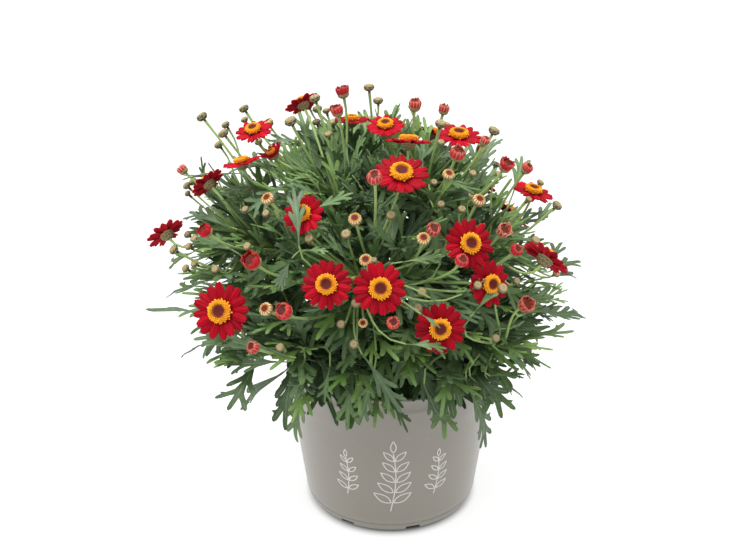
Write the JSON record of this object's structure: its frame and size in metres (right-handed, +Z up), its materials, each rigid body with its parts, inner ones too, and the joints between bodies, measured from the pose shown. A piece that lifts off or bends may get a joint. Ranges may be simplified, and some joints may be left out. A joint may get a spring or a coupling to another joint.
{
  "type": "potted marguerite daisy",
  "caption": "Round tapered plastic nursery pot with drain slots, filled with soil, holding a bushy marguerite daisy: slender stems, lobed leaves, red blooms with golden discs, and small buds.",
  "frame": {"origin": "centre of the pot's flat floor, on the pot's vertical axis", "axes": "+Z up along the pot's axis, -Y is the front as in the picture, +X is to the viewer's right"},
  "size_m": [0.3517, 0.3647, 0.3949],
  "materials": {
    "pot_plastic": "moulded greige plastic, faintly glossy",
    "soil": "damp dark potting compost with bark crumbs",
    "foliage": "matte grey-green leaves and pale green stems",
    "petals": "soft satin crimson petals",
    "florets": "granular golden ring round a maroon centre"
  },
  "bodies": {
    "root": {"pot": "pot_plastic", "soil": "soil", "bloom_01_rays": "petals", "bloom_01_disc": "florets", "bloom_02_rays": "petals", "bloom_02_disc": "florets", "bloom_03_rays": "petals", "bloom_03_disc": "florets", "bloom_04_rays": "petals", "bloom_04_disc": "florets", "bloom_05_rays": "petals", "bloom_05_disc": "florets", "bloom_06_rays": "petals", "bloom_06_disc": "florets", "bloom_07_rays": "petals", "bloom_07_disc": "florets", "bloom_08_rays": "petals", "bloom_08_disc": "florets", "bloom_09_rays": "petals", "bloom_09_disc": "florets", "bloom_10_rays": "petals", "bloom_10_disc": "florets", "bloom_11_rays": "petals", "bloom_11_disc": "florets", "bloom_12_rays": "petals", "bloom_12_disc": "florets", "bloom_13_rays": "petals", "bloom_13_disc": "florets", "bloom_14_rays": "petals", "bloom_14_disc": "florets", "bloom_15_rays": "petals", "bloom_15_disc": "florets", "bloom_16_rays": "petals", "bloom_16_disc": "florets", "bloom_17_rays": "petals", "bloom_17_disc": "florets", "bloom_18_rays": "petals", "bloom_18_disc": "florets", "bloom_19_rays": "petals", "bloom_19_disc": "florets", "bloom_20_rays": "petals", "bloom_20_disc": "florets", "bloom_21": "petals", "bloom_22": "petals", "bloom_23": "petals", "bloom_24": "petals", "bloom_25": "petals", "bloom_26": "petals", "leafy_stem_01": "foliage", "leafy_stem_02": "foliage", "leafy_stem_03": "foliage", "leafy_stem_04": "foliage", "leafy_stem_05": "foliage", "leafy_stem_06": "foliage", "leafy_stem_07": "foliage", "leafy_stem_08": "foliage", "leafy_stem_09": "foliage", "leafy_stem_10": "foliage", "leafy_stem_11": "foliage", "leafy_stem_12": "foliage"}
  },
  "joints": []
}
